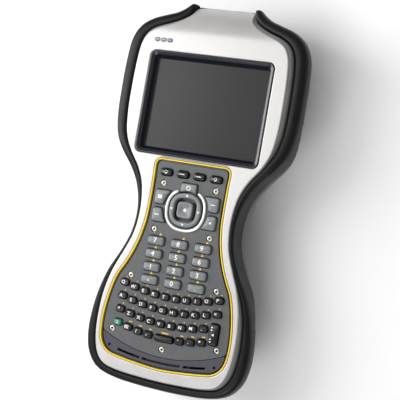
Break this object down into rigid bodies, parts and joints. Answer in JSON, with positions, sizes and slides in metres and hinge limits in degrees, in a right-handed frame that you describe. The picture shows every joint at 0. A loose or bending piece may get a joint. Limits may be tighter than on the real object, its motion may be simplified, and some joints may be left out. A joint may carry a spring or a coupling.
{
  "type": "handheld survey data collector",
  "caption": "Rugged hourglass-shaped handheld field computer with a recessed touch screen, screwed keypad, rubber bumper and rear hand strap.",
  "frame": {"origin": "centre of the bounding box at the plane of the two rear pads that it lies on", "axes": "+Z out of the screen, +Y from the base towards the head, +X to the right of a person reading the screen"},
  "size_m": [0.141, 0.2788, 0.064],
  "materials": {
    "silver_plate": "satin warm silver paint with a fine brushed sparkle",
    "graphite_plastic": "fine textured moulded plastic",
    "black_rubber": "soft satin moulded rubber",
    "yellow_trim": "satin yellow moulded strip",
    "plate_grey": "fine speckled dark grey plastic",
    "key_grey": "satin moulded key caps",
    "key_black": "satin black key caps",
    "key_green": "satin green key cap",
    "steel": "bright machined steel",
    "silver_ring": "satin silver ring",
    "navy_plastic": "smooth dark blue-black plastic",
    "screen_glass": "glossy dark touch panel",
    "display": "dark display module",
    "circuit_board": "green solder mask",
    "webbing": "woven black nylon webbing with a padded centre",
    "dark_sensor": "glossy black plastic and lens"
  },
  "bodies": {
    "casing": {"faceplate": "silver_plate", "front_housing": "graphite_plastic", "rear_housing": "graphite_plastic", "bumper": "black_rubber", "screen_bezel": "navy_plastic", "touch_glass": "screen_glass", "lcd_module": "display", "yellow_trim": "yellow_trim", "keypad_plate": "plate_grey", "speaker_grille": "navy_plastic", "dpad_trim": "silver_ring", "keymat": "key_black", "keypad_board": "circuit_board", "main_board": "circuit_board", "speaker": "dark_sensor", "light_pipe": "dark_sensor", "battery_pack": "graphite_plastic", "strap_anchor_top": "steel", "strap_anchor_bottom": "steel", "hand_strap": "webbing", "camera_module": "dark_sensor", "plate_screw_1": "steel", "plate_screw_2": "steel", "plate_screw_3": "steel", "plate_screw_4": "steel", "plate_screw_5": "steel", "plate_screw_6": "steel", "plate_screw_7": "steel", "plate_screw_8": "steel", "plate_screw_9": "steel"},
    "battery_latch": {"battery_latch": "black_rubber"},
    "stylus": {"stylus": "black_rubber"},
    "port_cover": {"port_cover": "black_rubber"},
    "dpad_carrier": {"dpad_carrier": "key_black"},
    "dpad_ring": {"dpad_ring": "key_grey"},
    "ok_key": {"ok_key": "key_grey"},
    "power_key": {"power_key": "key_grey"},
    "app_key_1": {"app_key_1": "key_black"},
    "app_key_2": {"app_key_2": "key_black"},
    "app_key_3": {"app_key_3": "key_black"},
    "app_key_4": {"app_key_4": "key_black"},
    "number_key_1": {"number_key_1": "key_grey"},
    "number_key_2": {"number_key_2": "key_grey"},
    "number_key_3": {"number_key_3": "key_grey"},
    "number_key_4": {"number_key_4": "key_grey"},
    "number_key_5": {"number_key_5": "key_grey"},
    "number_key_6": {"number_key_6": "key_grey"},
    "number_key_7": {"number_key_7": "key_grey"},
    "number_key_8": {"number_key_8": "key_grey"},
    "number_key_9": {"number_key_9": "key_grey"},
    "number_key_10": {"number_key_10": "key_grey"},
    "number_key_11": {"number_key_11": "key_grey"},
    "number_key_12": {"number_key_12": "key_grey"},
    "space_key": {"space_key": "key_black"},
    "enter_key": {"enter_key": "key_black"},
    "function_key": {"function_key": "key_green"},
    "side_key_1": {"side_key_1": "key_grey"},
    "side_key_2": {"side_key_2": "key_grey"},
    "side_key_3": {"side_key_3": "key_grey"},
    "side_key_4": {"side_key_4": "key_grey"}
  },
  "joints": [
    {"name": "ok_key_press", "type": "slide", "parent": "casing", "child": "ok_key", "axis": [0, 0, -1], "range_m": [0, 0.001], "stiffness_N_per_m": 600},
    {"name": "power_key_press", "type": "slide", "parent": "casing", "child": "power_key", "axis": [0, 0, -1], "range_m": [0, 0.001], "stiffness_N_per_m": 600},
    {"name": "app_key_1_press", "type": "slide", "parent": "casing", "child": "app_key_1", "axis": [0, 0, -1], "range_m": [0, 0.001], "stiffness_N_per_m": 600},
    {"name": "app_key_2_press", "type": "slide", "parent": "casing", "child": "app_key_2", "axis": [0, 0, -1], "range_m": [0, 0.001], "stiffness_N_per_m": 600},
    {"name": "app_key_3_press", "type": "slide", "parent": "casing", "child": "app_key_3", "axis": [0, 0, -1], "range_m": [0, 0.001], "stiffness_N_per_m": 600},
    {"name": "app_key_4_press", "type": "slide", "parent": "casing", "child": "app_key_4", "axis": [0, 0, -1], "range_m": [0, 0.001], "stiffness_N_per_m": 600},
    {"name": "number_key_1_press", "type": "slide", "parent": "casing", "child": "number_key_1", "axis": [0, 0, -1], "range_m": [0, 0.001], "stiffness_N_per_m": 600},
    {"name": "number_key_2_press", "type": "slide", "parent": "casing", "child": "number_key_2", "axis": [0, 0, -1], "range_m": [0, 0.001], "stiffness_N_per_m": 600},
    {"name": "number_key_3_press", "type": "slide", "parent": "casing", "child": "number_key_3", "axis": [0, 0, -1], "range_m": [0, 0.001], "stiffness_N_per_m": 600},
    {"name": "number_key_4_press", "type": "slide", "parent": "casing", "child": "number_key_4", "axis": [0, 0, -1], "range_m": [0, 0.001], "stiffness_N_per_m": 600},
    {"name": "number_key_5_press", "type": "slide", "parent": "casing", "child": "number_key_5", "axis": [0, 0, -1], "range_m": [0, 0.001], "stiffness_N_per_m": 600},
    {"name": "number_key_6_press", "type": "slide", "parent": "casing", "child": "number_key_6", "axis": [0, 0, -1], "range_m": [0, 0.001], "stiffness_N_per_m": 600},
    {"name": "number_key_7_press", "type": "slide", "parent": "casing", "child": "number_key_7", "axis": [0, 0, -1], "range_m": [0, 0.001], "stiffness_N_per_m": 600},
    {"name": "number_key_8_press", "type": "slide", "parent": "casing", "child": "number_key_8", "axis": [0, 0, -1], "range_m": [0, 0.001], "stiffness_N_per_m": 600},
    {"name": "number_key_9_press", "type": "slide", "parent": "casing", "child": "number_key_9", "axis": [0, 0, -1], "range_m": [0, 0.001], "stiffness_N_per_m": 600},
    {"name": "number_key_10_press", "type": "slide", "parent": "casing", "child": "number_key_10", "axis": [0, 0, -1], "range_m": [0, 0.001], "stiffness_N_per_m": 600},
    {"name": "number_key_11_press", "type": "slide", "parent": "casing", "child": "number_key_11", "axis": [0, 0, -1], "range_m": [0, 0.001], "stiffness_N_per_m": 600},
    {"name": "number_key_12_press", "type": "slide", "parent": "casing", "child": "number_key_12", "axis": [0, 0, -1], "range_m": [0, 0.001], "stiffness_N_per_m": 600},
    {"name": "space_key_press", "type": "slide", "parent": "casing", "child": "space_key", "axis": [0, 0, -1], "range_m": [0, 0.001], "stiffness_N_per_m": 600},
    {"name": "enter_key_press", "type": "slide", "parent": "casing", "child": "enter_key", "axis": [0, 0, -1], "range_m": [0, 0.001], "stiffness_N_per_m": 600},
    {"name": "function_key_press", "type": "slide", "parent": "casing", "child": "function_key", "axis": [0, 0, -1], "range_m": [0, 0.001], "stiffness_N_per_m": 600},
    {"name": "side_key_1_press", "type": "slide", "parent": "casing", "child": "side_key_1", "axis": [0, 0, -1], "range_m": [0, 0.001], "stiffness_N_per_m": 600},
    {"name": "side_key_2_press", "type": "slide", "parent": "casing", "child": "side_key_2", "axis": [0, 0, -1], "range_m": [0, 0.001], "stiffness_N_per_m": 600},
    {"name": "side_key_3_press", "type": "slide", "parent": "casing", "child": "side_key_3", "axis": [0, 0, -1], "range_m": [0, 0.001], "stiffness_N_per_m": 600},
    {"name": "side_key_4_press", "type": "slide", "parent": "casing", "child": "side_key_4", "axis": [0, 0, -1], "range_m": [0, 0.001], "stiffness_N_per_m": 600},
    {"name": "dpad_rock_up_down", "type": "hinge", "parent": "casing", "child": "dpad_carrier", "pos_m": [0, -0.0093, 0.061], "axis": [1, 0, 0], "range_deg": [-3, 3], "stiffness_Nm_per_rad": 0.4},
    {"name": "dpad_rock_left_right", "type": "hinge", "parent": "dpad_carrier", "child": "dpad_ring", "pos_m": [0, -0.0093, 0.061], "axis": [0, 1, 0], "range_deg": [-3, 3], "stiffness_Nm_per_rad": 0.4},
    {"name": "battery_latch_slide", "type": "slide", "parent": "casing", "child": "battery_latch", "axis": [0, 1, 0], "range_m": [0, 0.003], "stiffness_N_per_m": 500},
    {"name": "stylus_slide", "type": "slide", "parent": "casing", "child": "stylus", "axis": [0, 1, 0], "range_m": [0, 0.1]},
    {"name": "port_cover_hinge", "type": "hinge", "parent": "casing", "child": "port_cover", "pos_m": [0, -0.1275, 0.0019], "axis": [1, 0, 0], "range_deg": [0, 90]}
  ]
}
